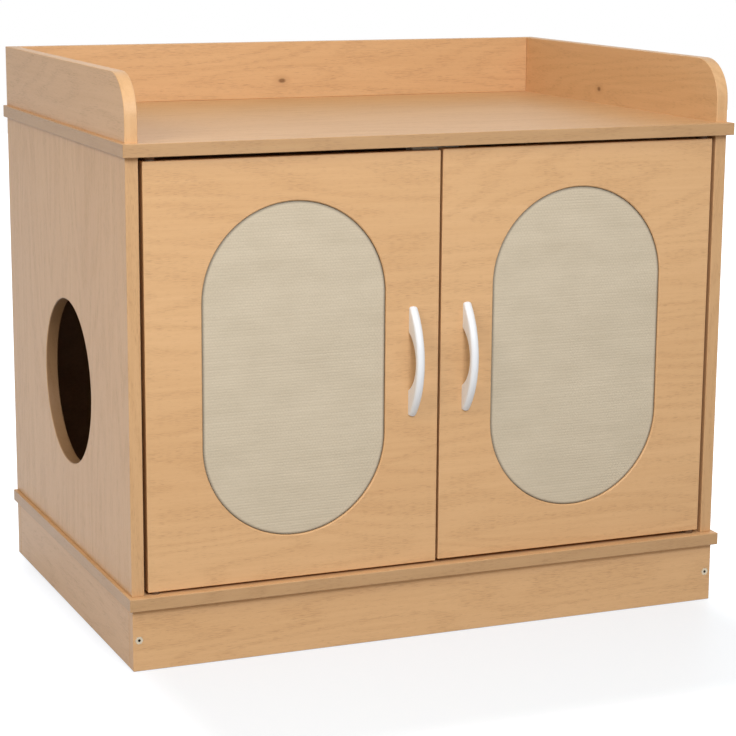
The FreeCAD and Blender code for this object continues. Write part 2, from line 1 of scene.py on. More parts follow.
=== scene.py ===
# %% [markdown]
# # A cat litter box cabinet, dressed for a studio picture
# The cabinet is a flat-pack cupboard: oak-print boards, two inset doors with stadium-shaped scratch
# pads, white bow handles, a round entry in its left side and a low gallery round the top. Its boards
# come from the frame as they are. This lesson lights them, gives every board its print, and models
# again what a plain solid can't show: the woven cloth, the rounded handles and the screw heads.
# %% Load the frame
import math

import bmesh
import bpy
from mathutils import Matrix, Vector, noise


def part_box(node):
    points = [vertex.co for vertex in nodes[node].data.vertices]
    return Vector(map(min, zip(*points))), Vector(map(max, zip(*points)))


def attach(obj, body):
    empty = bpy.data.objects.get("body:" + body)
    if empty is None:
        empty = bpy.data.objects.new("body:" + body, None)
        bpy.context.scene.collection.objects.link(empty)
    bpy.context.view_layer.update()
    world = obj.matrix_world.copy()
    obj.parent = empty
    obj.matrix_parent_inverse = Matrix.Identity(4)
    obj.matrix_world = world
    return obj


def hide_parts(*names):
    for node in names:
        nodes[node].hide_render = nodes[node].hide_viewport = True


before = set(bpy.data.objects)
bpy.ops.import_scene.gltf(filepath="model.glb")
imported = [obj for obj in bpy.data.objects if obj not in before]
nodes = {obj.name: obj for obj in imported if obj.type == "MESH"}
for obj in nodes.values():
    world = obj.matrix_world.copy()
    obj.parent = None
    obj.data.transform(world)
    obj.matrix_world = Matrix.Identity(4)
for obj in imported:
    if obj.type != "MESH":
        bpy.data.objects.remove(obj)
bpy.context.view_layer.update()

# %% [markdown]
# ## Camera
# The picture was taken from the front left and a little above, with a long lens, so the uprights
# hardly lean. A camera is easiest to place by angles: yaw turns it from straight ahead to the right,
# pitch tips it down and roll levels the horizon. The small shift moves the picture in its frame and
# leaves the perspective alone.
# %% Camera
camera_place = Vector((-1.0948, -2.6123, 0.8597))
camera_yaw, camera_pitch, camera_roll = (math.radians(a) for a in (22.473, 12.177, 0.284))
sensor_width = 36.0
focal_length = 109.26
frame_shift = (0.0281, 0.0341)


def camera_turn(yaw, pitch, roll):
    """A rotation whose columns are the camera's right, up and back."""
    ahead = Vector((math.sin(yaw) * math.cos(pitch), math.cos(yaw) * math.cos(pitch), -math.sin(pitch)))
    level = Vector((math.cos(yaw), -math.sin(yaw), 0))
    rise = level.cross(ahead)
    right = level * math.cos(roll) + rise * math.sin(roll)
    up = rise * math.cos(roll) - level * math.sin(roll)
    return Matrix((right, up, -ahead)).transposed()


lens = bpy.data.cameras.new("picture_camera")
lens.sensor_width = sensor_width
lens.lens = focal_length
lens.shift_x, lens.shift_y = frame_shift
camera = bpy.data.objects.new("picture_camera", lens)
bpy.context.scene.collection.objects.link(camera)
camera.matrix_world = Matrix.Translation(camera_place) @ camera_turn(
    camera_yaw, camera_pitch, camera_roll).to_4x4()
bpy.context.scene.camera = camera
bpy.context.scene.view_settings.view_transform = "Standard"
print("camera:", round(camera_place.length, 2), "m from the cabinet's foot")

# %% [markdown]
# ## Words for building shaders
# A material is a small network of nodes. These helpers keep the later cells short: they add a node and
# fill or link its inputs, do sums on numbers and vectors, make noise, mix colours and open a node group
# with named sockets. A group is built once and used by many materials, each with its own numbers.
# %% Shader helpers
GREY, COLOUR, ARROW = "NodeSocketFloat", "NodeSocketColor", "NodeSocketVector"


def fill(tree, node, inputs):
    """Sets each input, named by its word or its place, to a value or links another's output to it."""
    for key, value in inputs.items():
        if isinstance(value, bpy.types.NodeSocket):
            tree.links.new(value, node.inputs[key])
        else:
            node.inputs[key].default_value = value


def put(tree, kind, inputs=None, **settings):
    """Adds a shader node with these settings and inputs."""
    made = tree.nodes.new("ShaderNode" + kind)
    for name, value in settings.items():
        setattr(made, name, value)
    fill(tree, made, inputs or {})
    return made


def calc(tree, operation, first, second=0.0, third=0.0, clamp=False):
    """The result of one Math node."""
    made = put(tree, "Math", {0: first, 1: second, 2: third}, operation=operation, use_clamp=clamp)
    return made.outputs[0]


def times(tree, first, second):
    """One number times another."""
    return calc(tree, "MULTIPLY", first, second)


def ramp(tree, value, low, high, out_low=0.0, out_high=1.0):
    """A smooth step from low to high."""
    inputs = {"Value": value, "From Min": low, "From Max": high, "To Min": out_low, "To Max": out_high}
    return put(tree, "MapRange", inputs, interpolation_type="SMOOTHSTEP").outputs[0]


def vector_calc(tree, operation, first, second=(0, 0, 0)):
    """The vector that one Vector Math node gives."""
    return put(tree, "VectorMath", {0: first, 1: second}, operation=operation).outputs[0]


def length_of(tree, vector):
    """How long a vector is."""
    return put(tree, "VectorMath", {0: vector}, operation="LENGTH").outputs["Value"]


def swung(tree, grey, amount, base=0.5, clamp=False):
    """The base, moved both ways by a grey noise that lies around 0.5."""
    return calc(tree, "MULTIPLY_ADD", calc(tree, "SUBTRACT", grey, 0.5), amount, base, clamp)


def object_place(tree):
    """Where a point of the surface lies, in metres."""
    return put(tree, "TexCoord").outputs["Object"]


def cloud(tree, vector, scale, detail=3.0, roughness=0.5, distortion=0.0):
    """Grey noise around 0.5, finer in the directions whose scale is larger."""
    inputs = {"Vector": vector_calc(tree, "MULTIPLY", vector, scale), "Scale": 1.0, "Detail": detail,
              "Roughness": roughness, "Distortion": distortion}
    return put(tree, "TexNoise", inputs).outputs[0]


def blend_colour(tree, share, first, second, kind="MIX"):
    """Two colours mixed by share."""
    made = put(tree, "Mix", {0: share, 6: first, 7: second}, data_type="RGBA", blend_type=kind)
    return made.outputs[2]


def tinted(tree, colour, tint):
    """A colour times a tint."""
    return blend_colour(tree, 1.0, colour, tint, "MULTIPLY")


def add_bump(tree, shader, height, distance, strength):
    """Shades the surface as if the height were relief of this depth."""
    bump = put(tree, "Bump", {"Strength": strength, "Distance": distance, "Height": height})
    fill(tree, shader, {"Normal": bump.outputs["Normal"]})


def shader_group(title, inputs, outputs):
    """An empty node group with named sockets; gives its tree, what it is given and its output node."""
    tree = bpy.data.node_groups.new(title, "ShaderNodeTree")
    for name, kind in inputs:
        tree.interface.new_socket(name, in_out="INPUT", socket_type=kind)
    for name, kind in outputs:
        tree.interface.new_socket(name, in_out="OUTPUT", socket_type=kind)
    return tree, tree.nodes.new("NodeGroupInput").outputs, tree.nodes.new("NodeGroupOutput")


def new_material(title):
    """A material that holds only its Principled BSDF."""
    made = bpy.data.materials.new(title)
    made.use_nodes = True
    return made, made.node_tree, made.node_tree.nodes["Principled BSDF"]


def dress(piece, material):
    """Gives the piece this material and no other."""
    piece.data.materials.clear()
    piece.data.materials.append(material)


print("helpers ready")

# %% [markdown]
# ## Words for building pieces
# New pieces are made with mesh operators and then become objects in the frame's place. An operator
# hands back a mixture of what it made, so two helpers sort out the vertices and the edges.
# %% Piece helpers
same_place = 1e-7


def make_object(title, bm):
    """A piece from a finished bmesh, in the frame's place."""
    mesh = bpy.data.meshes.new(title)
    bm.to_mesh(mesh)
    bm.free()
    made = bpy.data.objects.new(title, mesh)
    bpy.context.scene.collection.objects.link(made)
    return made


def smooth_shading(bm, sharp_angle):
    """Smooth faces, with the edges sharper than the angle kept crisp."""
    bm.normal_update()
    for face in bm.faces:
        face.smooth = True
    for edge in bm.edges:
        edge.smooth = len(edge.link_faces) == 2 and edge.calc_face_angle(0.0) < sharp_angle


def join_points(bm, *verts):
    """Edges from each vertex to the next."""
    for first, second in zip(verts, verts[1:]):
        bm.edges.new((first, second))


def cut_flat(bm, spot, normal, clear_outer=False):
    """Cuts everything by a plane, and clears what lies outside it if asked."""
    bmesh.ops.bisect_plane(bm, geom=bm.verts[:] + bm.edges[:] + bm.faces[:], dist=same_place,
                           plane_co=spot, plane_no=normal, clear_outer=clear_outer)


def triangle_count(piece):
    """How many triangles its faces come to."""
    return sum(len(face.vertices) - 2 for face in piece.data.polygons)


def verts_in(geometry):
    """The vertices among what an operator made."""
    return [item for item in geometry if isinstance(item, bmesh.types.BMVert)]


def edges_in(geometry):
    """The edges among what an operator made."""
    return [item for item in geometry if isinstance(item, bmesh.types.BMEdge)]


print("piece helpers ready")

# %% [markdown]
# ## Floor and studio
# The cabinet stands on a floor that is off-white in front of it and white all round. A lamp strong
# enough for that would burn the boards out, so only the camera, reflections and glass see the extra
# white: Light Path tells the floor and the world which rays come from there. The extra white starts at
# a box round the near floor and grows with the distance from it. The room's light is slightly warm.
# %% Floor and world
floor_half = 6.0
floor_drop = 0.0004
floor_roughness = 0.5
floor_grey = (0.33, 0.32, 0.30, 1.0)
lift_tint = (0.875, 0.93, 1.0, 1.0)
near_lift, far_lift = 0.635, 1.2
near_centre, near_reach = (0.0, -0.15, 0.0), (0.30, 0.33, 0.0)
lift_start, lift_end = 0.04, 0.20
room_light = (0.435, 0.395, 0.300, 1.0)


def seen_directly(tree):
    """1 for rays from the camera, a reflection or glass, and 0 for the light that reaches a surface."""
    path = put(tree, "LightPath")
    shiny = calc(tree, "MAXIMUM", path.outputs["Is Glossy Ray"], path.outputs["Is Transmission Ray"])
    return calc(tree, "MAXIMUM", path.outputs["Is Camera Ray"], shiny)


def studio_floor():
    """A wide plane just under the plinth."""
    bm = bmesh.new()
    bmesh.ops.create_grid(bm, x_segments=1, y_segments=1, size=floor_half)
    bmesh.ops.translate(bm, vec=(0, 0, -floor_drop), verts=bm.verts)
    floor = make_object("studio_floor", bm)
    material, tree, shader = new_material("studio_floor")
    from_centre = vector_calc(tree, "SUBTRACT", object_place(tree), near_centre)
    beyond = vector_calc(tree, "SUBTRACT", vector_calc(tree, "ABSOLUTE", from_centre), near_reach)
    away = length_of(tree, vector_calc(tree, "MAXIMUM", beyond))
    strength = ramp(tree, away, lift_start, lift_end, near_lift, far_lift)
    fill(tree, shader, {"Base Color": floor_grey, "Roughness": floor_roughness,
                        "Emission Color": lift_tint,
                        "Emission Strength": times(tree, seen_directly(tree), strength)})
    dress(floor, material)


def studio_world():
    """White to the camera, and the room's own light to the cabinet."""
    world = bpy.data.worlds.new("studio")
    world.use_nodes = True
    bpy.context.scene.world = world
    tree = world.node_tree
    colour = blend_colour(tree, seen_directly(tree), room_light, (1, 1, 1, 1))
    tree.links.new(colour, tree.nodes["Background"].inputs["Color"])


studio_floor()
studio_world()
print("floor and room light made")

# %% [markdown]
# ## Lamps
# The main lamp stands high in front and is slightly cool. A weaker, warmer one on the left lifts the
# shaded side, and a faint one above lifts the top. All three are broad, so their shadows are soft.
# %% Lamps
aim = Vector((0.0, 0.0, 0.35))


def soft_lamp(title, place, width, power, colour):
    """A square lamp of this width in metres and power in watts, turned to the cabinet's middle."""
    light = bpy.data.lights.new(title, "AREA")
    light.size = width
    light.energy = power
    light.color = colour
    lamp = bpy.data.objects.new(title, light)
    lamp.location = place
    lamp.rotation_mode = "QUATERNION"
    lamp.rotation_quaternion = (aim - Vector(place)).to_track_quat("-Z", "Y")
    bpy.context.scene.collection.objects.link(lamp)


soft_lamp("front_lamp", (-0.3, -2.3, 1.65), 0.8, 36.0, (0.96, 1.05, 1.22))
soft_lamp("left_lamp", (-1.8, -1.2, 1.7), 0.8, 16.5, (1.0, 0.945, 0.88))
soft_lamp("top_lamp", (-0.2, -1.0, 2.6), 1.4, 7.0, (1.0, 1.0, 1.0))

# %% [markdown]
# ## Where a board's edges are
# On a melamine board the print covers both faces and a thin band covers each edge. The band is a strip
# of another batch, so its tone differs a little, and its arrises are the first place to rub pale; the
# pale arrises also carry a painted highlight. Both are found from the board's own box: how far a point
# lies from each pair of opposite faces.
# %% Board edge group
band_depth, band_fade = 0.0007, 0.6
rub_scale = (90, 90, 90)


def make_board_edges():
    """Masks for the bands on each pair of ends, and for the arrises, rubbed and with a painted highlight.
    """
    tree, given, out = shader_group(
        "board_edges",
        [("Place", ARROW), ("Low", ARROW), ("High", ARROW), ("Arris", GREY)],
        [("On X Ends", GREY), ("On Y Ends", GREY), ("On Z Ends", GREY), ("Wear And Highlight", GREY)])
    place = given["Place"]
    from_low = vector_calc(tree, "SUBTRACT", place, given["Low"])
    from_high = vector_calc(tree, "SUBTRACT", given["High"], place)
    depth = put(tree, "SeparateXYZ", {0: vector_calc(tree, "MINIMUM", from_low, from_high)}).outputs
    less = calc(tree, "MINIMUM", depth[0], depth[1])
    more = calc(tree, "MAXIMUM", depth[0], depth[1])
    middle = calc(tree, "MAXIMUM", less, calc(tree, "MINIMUM", more, depth[2]))
    rubbed = cloud(tree, place, rub_scale, detail=4.0, roughness=0.6)
    near = calc(tree, "SUBTRACT", 1.0, calc(tree, "DIVIDE", middle, given["Arris"]), clamp=True)
    # The arris mask is partly real wear and partly a painted highlight.
    wear_and_highlight = times(tree, near, ramp(tree, rubbed, 0.35, 0.65, 0.45, 1.0))
    results = {f"On {axis} Ends": ramp(tree, depth[k], band_depth, band_depth * band_fade)
               for k, axis in enumerate("XYZ")}
    fill(tree, out, {**results, "Wear And Highlight": wear_and_highlight})
    return tree


board_edges = make_board_edges()
print("group:", board_edges.name)

# %% [markdown]
# ## The oak print
# The print imitates flat-sawn pale oak: broad soft tones, growth lines that wander along the board,
# fine streaks, and short dark pores that gather in the growth lines. All four are noise that is
# stretched along the grain. The lines are the contours of a smooth noise, found by taking its sine, so
# they close into arches as real ones do. A small pin knot sits on some boards.
# %% Oak print group
line_count, line_crowding = 95.0, 0.09
broad_swing, streak_swing, fine_swing = 0.9, 0.95, 0.45
pore_tone, pore_share = (0.30, 0.145, 0.055, 1), 0.38
halo_tone, halo_share = (0.40, 0.20, 0.085, 1), 0.28
knot_tone, knot_share = (0.19, 0.085, 0.03, 1), 0.85
knot_stretch = (0.6, 1.0, 1.0)


def make_oak_print():
    """The print's colour, relief and gloss, with the grain along the first direction of Place."""
    tree, given, out = shader_group(
        "oak_print",
        [("Place", ARROW), ("Light Tone", COLOUR), ("Dark Tone", COLOUR), ("Figure", GREY),
         ("Pores", GREY), ("Sheet", ARROW), ("Knot", ARROW), ("Knot Size", GREY)],
        [("Colour", COLOUR), ("Relief", GREY), ("Gloss", GREY)])
    place = vector_calc(tree, "ADD", given["Place"], given["Sheet"])
    broad = cloud(tree, place, (1.1, 7.0, 7.0), detail=2.0)
    contour = cloud(tree, place, (1.5, 10.0, 10.0), detail=2.0, roughness=0.45, distortion=0.15)
    rings = ramp(tree, calc(tree, "SINE", times(tree, contour, line_count)), -0.6, 1.0)
    streaks = cloud(tree, place, (6.0, 210.0, 210.0), detail=5.0, roughness=0.62)
    fine = cloud(tree, place, (28.0, 1300.0, 1300.0), detail=3.0, roughness=0.6)
    dashes = cloud(tree, place, (95.0, 2100.0, 2100.0), detail=1.0)
    pores = ramp(tree, calc(tree, "MULTIPLY_ADD", rings, line_crowding, dashes), 0.63, 0.72)
    pores = times(tree, pores, given["Pores"])
    tone = swung(tree, broad, broad_swing)
    tone = swung(tree, streaks, streak_swing, tone)
    tone = swung(tree, fine, fine_swing, tone)
    tone = swung(tree, rings, given["Figure"], tone, clamp=True)
    colour = blend_colour(tree, tone, given["Light Tone"], given["Dark Tone"])
    colour = blend_colour(tree, times(tree, pores, pore_share), colour, pore_tone)
    to_knot = vector_calc(tree, "SUBTRACT", given["Place"], given["Knot"])
    away = length_of(tree, vector_calc(tree, "MULTIPLY", to_knot, knot_stretch))
    ragged = swung(tree, streaks, 0.8, calc(tree, "DIVIDE", away, given["Knot Size"]))
    halo = times(tree, ramp(tree, ragged, 2.6, 0.8), halo_share)
    knot = times(tree, ramp(tree, ragged, 1.0, 0.35), knot_share)
    colour = blend_colour(tree, halo, colour, halo_tone)
    colour = blend_colour(tree, knot, colour, knot_tone)
    relief = calc(tree, "SUBTRACT", times(tree, fine, 0.35), pores)
    gloss = calc(tree, "MULTIPLY_ADD", streaks, 0.5, times(tree, pores, 0.5))
    fill(tree, out, {"Colour": colour, "Relief": relief, "Gloss": gloss})
    return tree


oak_print = make_oak_print()
print("group:", oak_print.name)

# %% [markdown]
# ## Boards
# Each board is cut from its own stretch of the printed sheet, so each takes the pattern from another
# place. The grain runs along X on the doors, the top, the bottom and the plinth, up the side panels,
# and along Y on the gallery's side rails. The bands on the two ends carry the print the other way, so
# each material holds the oak print twice and the edge group chooses between them. The wall of the
# round entry has painted shade: it is darker and greyer than the faces.
# %% Board materials
oak_light = (0.682, 0.412, 0.204, 1)
oak_dark = (0.585, 0.331, 0.150, 1)
figure, band_figure, pore_depth = 0.12, 0.06, 0.8
knot_size = 0.004
no_knot = (0.0, 0.0, -9.0)
band_shift = 1.7
arris_width = 0.0011
# Pale arrises: partly real wear, partly a painted highlight.
wear_and_highlight_tint, wear_and_highlight_share = (1.16, 1.17, 1.20, 1), 0.6
print_relief = 0.00012
thin_edge = 0.02
board_roughness, board_specular = 0.36, 0.3
entry_board = "left_side_panel"
entry_centre, entry_radius = (0.0, 0.006, 0.2925), 0.102
# Painted shade on the wall of the round entry: darker and greyer.
entry_shade_start, entry_shade_full = 0.0009, 0.0003
entry_shade_tint = (0.56, 0.54, 0.56, 1)
GRAIN_ORDER = {"X": (0, 1, 2), "Y": (1, 0, 2), "Z": (2, 0, 1)}


def along_grain(tree, place, axis):
    """The place with its parts in another order, so that the grain's direction comes first."""
    parts = put(tree, "SeparateXYZ", {0: place}).outputs
    first, second, third = (parts[k] for k in GRAIN_ORDER[axis])
    return put(tree, "CombineXYZ", {0: first, 1: second, 2: third}).outputs[0]


def printed(tree, place, axis, sheet, depth, knot):
    """One oak print in the material, with its values filled in."""
    knot_place = [knot[k] for k in GRAIN_ORDER[axis]]
    inputs = {"Place": along_grain(tree, place, axis), "Light Tone": oak_light, "Dark Tone": oak_dark,
              "Figure": depth, "Pores": pore_depth, "Sheet": sheet, "Knot": knot_place,
              "Knot Size": knot_size}
    return put(tree, "Group", inputs, node_tree=oak_print)


def entry_painted_shade(tree, place, colour):
    """The colour, darker and greyer on the wall of the round entry: painted shade."""
    spoke = vector_calc(tree, "SUBTRACT", place, entry_centre)
    away = length_of(tree, vector_calc(tree, "MULTIPLY", spoke, (0, 1, 1)))
    entry_shade = ramp(tree, away, entry_radius + entry_shade_start, entry_radius + entry_shade_full)
    return blend_colour(tree, entry_shade, colour, tinted(tree, colour, entry_shade_tint))


def board_material(node, grain, band_grain, sheet, band_tone, knot):
    """The print, bands and worn arrises (with a painted highlight) of one board, and painted shade in the
    round entry.
    """
    material, tree, shader = new_material(node + "_oak")
    place = object_place(tree)
    low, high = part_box(node)
    face = printed(tree, place, grain, sheet, figure, knot)
    shifted = tuple(part + band_shift for part in sheet)
    band = printed(tree, place, band_grain, shifted, band_figure, no_knot)
    edges = put(tree, "Group", {"Place": place, "Low": low, "High": high, "Arris": arris_width},
                node_tree=board_edges)
    ends = edges.outputs[f"On {grain} Ends"]
    colour = blend_colour(tree, ends, face.outputs["Colour"], band.outputs["Colour"])
    long_bands = [a for a, size in zip("XYZ", high - low) if size > thin_edge and a != grain]
    on_band = ends
    for axis in long_bands:
        on_band = calc(tree, "MAXIMUM", on_band, edges.outputs[f"On {axis} Ends"])
    banded = tinted(tree, colour, (band_tone, band_tone, band_tone, 1))
    colour = blend_colour(tree, on_band, colour, banded)
    # The wall of the round entry gets painted shade.
    if node == entry_board:
        colour = entry_painted_shade(tree, place, colour)
    # Pale arrises: real wear with a painted highlight.
    wear_and_highlight_mix = times(tree, edges.outputs["Wear And Highlight"], wear_and_highlight_share)
    colour = blend_colour(tree, wear_and_highlight_mix, colour, tinted(tree, colour, wear_and_highlight_tint))
    rough = calc(tree, "MULTIPLY_ADD", face.outputs["Gloss"], 0.10, board_roughness)
    rough = calc(tree, "MULTIPLY_ADD", edges.outputs["Wear And Highlight"], 0.08, rough)
    fill(tree, shader, {"Base Color": colour, "Roughness": rough, "Specular IOR Level": board_specular})
    add_bump(tree, shader, face.outputs["Relief"], print_relief, 0.5)
    dress(nodes[node], material)


darker_band = 0.74
upright_band = 0.90
rear_rail_knot = (-0.0039, 0.264, 0.633)
right_rail_knot = (0.369, 0.0478, 0.628)
boards = [
    ("left_side_panel", "Z", "Y", (0.3, 0.1, 0.2), upright_band, no_knot),
    ("right_side_panel", "Z", "Y", (2.1, 0.7, 0.9), upright_band, no_knot),
    ("bottom_panel", "X", "Y", (1.2, 2.3, 0.4), darker_band, no_knot),
    ("top_panel", "X", "Y", (3.3, 1.4, 2.2), darker_band, no_knot),
    ("left_gallery_rail", "Y", "Z", (4.2, 0.6, 1.1), 1.0, no_knot),
    ("right_gallery_rail", "Y", "Z", (5.1, 3.7, 0.3), 1.0, right_rail_knot),
    ("rear_gallery_rail", "X", "Z", (0.8, 5.2, 3.1), 1.0, rear_rail_knot),
    ("plinth_front_board", "X", "Z", (6.6, 0.9, 4.4), 1.0, no_knot),
    ("plinth_rear_board", "X", "Z", (7.3, 2.8, 1.9), 1.0, no_knot),
    ("plinth_left_board", "Y", "Z", (8.5, 4.1, 2.6), 1.0, no_knot),
    ("plinth_right_board", "Y", "Z", (9.4, 1.2, 5.7), 1.0, no_knot),
    ("left_door_panel", "X", "Z", (2.9, 6.4, 0.7), 1.0, no_knot),
    ("right_door_panel", "X", "Z", (4.9, 7.6, 3.5), 1.0, no_knot)]
for board in boards:
    board_material(*board)
print("boards printed:", len(boards))

# %% [markdown]
# ## Small effects for metal, paint and moulded parts
# A plated screw has fine drawing lines and blotches in its zinc, lacquer has a faint orange peel, and
# a moulded part has a fine spark grain. One group makes all of them: a tone that wanders, a relief at
# a chosen scale and a mask for roughness.
# %% Surface grain group
def make_surface_grain():
    """A tone that wanders, a fine relief and a mask of smudges."""
    tree, given, out = shader_group(
        "surface_grain", [("Place", ARROW), ("Grain Scale", GREY), ("Blotch Scale", GREY)],
        [("Tone", GREY), ("Relief", GREY), ("Smudge", GREY)])
    place = given["Place"]
    grain = put(tree, "TexNoise", {"Vector": place, "Scale": given["Grain Scale"],
                                   "Detail": 3.0, "Roughness": 0.55}).outputs[0]
    blotch = put(tree, "TexNoise", {"Vector": place, "Scale": given["Blotch Scale"],
                                    "Detail": 4.0, "Roughness": 0.6}).outputs[0]
    fill(tree, out, {"Tone": swung(tree, blotch, 0.7, clamp=True), "Relief": grain,
                     "Smudge": ramp(tree, blotch, 0.35, 0.7)})
    return tree


surface_grain = make_surface_grain()


def grained_material(title, light, dark, roughness, grain_scale, blotch_scale, relief,
                     metallic=0.0, smudge=0.12):
    """A finish whose colour and roughness wander, over a fine relief."""
    material, tree, shader = new_material(title)
    grain = put(tree, "Group", {"Place": object_place(tree), "Grain Scale": grain_scale,
                                "Blotch Scale": blotch_scale}, node_tree=surface_grain)
    colour = blend_colour(tree, grain.outputs["Tone"], light, dark)
    rough = calc(tree, "MULTIPLY_ADD", grain.outputs["Smudge"], smudge, roughness)
    fill(tree, shader, {"Base Color": colour, "Roughness": rough, "Metallic": metallic})
    add_bump(tree, shader, grain.outputs["Relief"], relief, 0.6)
    return material


lacquer = grained_material("white_lacquer", (0.77, 0.77, 0.775, 1), (0.73, 0.73, 0.73, 1), 0.30,
                           900.0, 14.0, 0.00004)
steel = grained_material("plated_steel", (0.62, 0.54, 0.41, 1), (0.50, 0.43, 0.32, 1), 0.52,
                         1500.0, 160.0, 0.00002, metallic=1.0, smudge=0.2)
zinc = grained_material("cast_zinc", (0.60, 0.60, 0.59, 1), (0.44, 0.44, 0.43, 1), 0.42,
                        900.0, 120.0, 0.00006, metallic=1.0, smudge=0.2)
# The bushes and pivot pins are dark brown as painted shade, so they sink into the door gaps' shade.
bush_nylon_shade_dark = grained_material("bush_nylon_painted_shade", (0.115, 0.060, 0.028, 1), (0.085, 0.044, 0.020, 1), 0.45,
                         1200.0, 60.0, 0.00004)
pin_steel_shade_dark = grained_material("pin_steel_painted_shade", (0.135, 0.066, 0.026, 1), (0.105, 0.050, 0.020, 1), 0.78,
                           1500.0, 160.0, 0.00002)
moulding = grained_material("white_moulding", (0.80, 0.79, 0.76, 1), (0.75, 0.74, 0.70, 1), 0.50,
                            2200.0, 50.0, 0.00006)
ferrite = grained_material("magnet_ferrite", (0.045, 0.045, 0.048, 1), (0.025, 0.025, 0.027, 1), 0.55,
                           1800.0, 140.0, 0.00006)
print("finishes:", len(bpy.data.materials))

# %% [markdown]
# ## Hardboard, fibreboard and beech
# The back is thin hardboard: pressed brown fibres, smooth, with darker flecks. The pad's core and its
# backing are plain fibreboard, paler and furry at the cut edge. The dowels are beech, which is even
# and pink with short dark flecks. All three are fibres of one kind or another, so they share a group.
# %% Pressed fibre group
fleck_tint, fleck_share = (0.62, 0.58, 0.55, 1), 0.6


def make_pressed_fibre():
    """The colour and relief of fibres that are finer the larger their Length's parts are."""
    tree, given, out = shader_group(
        "pressed_fibre",
        [("Place", ARROW), ("Light Tone", COLOUR), ("Dark Tone", COLOUR), ("Length", ARROW)],
        [("Colour", COLOUR), ("Relief", GREY)])
    place = given["Place"]
    fibres = cloud(tree, place, given["Length"], detail=5.0, roughness=0.65, distortion=0.6)
    mottle = cloud(tree, place, (22, 22, 22), detail=4.0, roughness=0.6)
    flecks = ramp(tree, cloud(tree, place, (420, 420, 420), detail=2.0), 0.64, 0.72)
    tone = swung(tree, fibres, 1.3, mottle, clamp=True)
    colour = blend_colour(tree, tone, given["Light Tone"], given["Dark Tone"])
    flecks = times(tree, flecks, fleck_share)
    colour = blend_colour(tree, flecks, colour, tinted(tree, colour, fleck_tint))
    fill(tree, out, {"Colour": colour, "Relief": fibres})
    return tree


pressed_fibre = make_pressed_fibre()


def fibre_material(title, light, dark, length, roughness, relief):
    """Pressed or sawn wood fibre, in its own two tones."""
    material, tree, shader = new_material(title)
    fibre = put(tree, "Group", {"Place": object_place(tree), "Light Tone": light, "Dark Tone": dark,
                                "Length": length}, node_tree=pressed_fibre)
    rough = calc(tree, "MULTIPLY_ADD", fibre.outputs["Relief"], 0.15, roughness)
    fill(tree, shader, {"Base Color": fibre.outputs["Colour"], "Roughness": rough})
    add_bump(tree, shader, fibre.outputs["Relief"], relief, 0.7)
    return material


hardboard = fibre_material("hardboard", (0.33, 0.185, 0.095, 1), (0.20, 0.105, 0.05, 1),
                           (260, 260, 340), 0.42, 0.00008)
fibreboard = fibre_material("raw_fibreboard", (0.46, 0.31, 0.175, 1), (0.34, 0.215, 0.115, 1),
                            (520, 520, 520), 0.72, 0.00012)
beech = fibre_material("beech", (0.60, 0.40, 0.235, 1), (0.46, 0.285, 0.155, 1),
                       (900, 900, 60), 0.50, 0.00010)
print("group:", pressed_fibre.name)

# %% [markdown]
# ## Finishes for what stays as the frame made it
# These nodes already have their true shape, so they only take a material.
# %% Dress the remaining nodes
finish_of = {
    "back_panel": hardboard, "side_dowels": beech, "gallery_dowels": beech, "plinth_dowels": beech,
    "side_cam_bolts": steel, "catch_housing": moulding, "catch_magnets": ferrite}
for side in ("left", "right"):
    finish_of.update({f"{side}_pad_core": fibreboard, f"{side}_pad_backing": fibreboard,
                      f"{side}_strike_plate": steel})
for node, material in finish_of.items():
    dress(nodes[node], material)
print("plain nodes dressed:", len(finish_of))

# %% [markdown]
# ## Pad cloth
# The scratch pads are faced with a coarse ribbed weave. Thick yarns run from side to side, about three
# millimetres apart, and thin ones bind them. A picture of a weave on a flat slab would look painted, so
# the ribs are real relief. The cloth starts as a fine grid with a few rows to each rib, and its border
# is trimmed to the stadium by many straight cuts.
# %% A grid cut to a stadium
rib_pitch = 0.0034
rows_per_rib = 5
column_pitch = 0.0026
trim_cuts = 72


def stadium_gap(x, z, width, height):
    """Distance from a point inwards to a stadium's outline, and the way straight outwards."""
    radius = width / 2
    straight = height / 2 - radius
    spine = Vector((0, 0, max(-straight, min(straight, z))))
    spoke = Vector((x, 0, z)) - spine
    return radius - spoke.length, spoke.normalized()


def trimmed_grid(width, height):
    """A grid in the XZ plane, facing -Y, cut to a stadium."""
    bm = bmesh.new()
    columns = round(width / column_pitch)
    rows = round(height / rib_pitch) * rows_per_rib
    bmesh.ops.create_grid(bm, x_segments=columns, y_segments=rows, size=0.5)
    bmesh.ops.scale(bm, vec=(width, height, 1), verts=bm.verts)
    bmesh.ops.rotate(bm, cent=(0, 0, 0), matrix=Matrix.Rotation(math.pi / 2, 3, "X"), verts=bm.verts)
    radius = width / 2
    straight = height / 2 - radius
    for k in range(trim_cuts):
        angle = 2 * math.pi * (k + 0.5) / trim_cuts
        outward = Vector((math.cos(angle), 0, math.sin(angle)))
        spot = outward * radius + Vector((0, 0, math.copysign(straight, outward.z)))
        cut_flat(bm, spot, outward, clear_outer=True)
    return bm


print("trimmed by", trim_cuts, "cuts")

# %% [markdown]
# Each rib wanders a little, swells and thins along its length, and flattens towards the border, where
# the cloth is pulled over the core. The border then rolls back as a quarter of an ellipse.
# %% Ribs and rolled border
rib_height = 0.00026
rib_wander, rib_swell = 0.10, 0.36
pad_crown, crown_reach = 0.00035, 0.06
calm_reach, calm_rib = 0.008, 0.35
roll_width, roll_depth, roll_count = 0.0034, 0.0012, 6


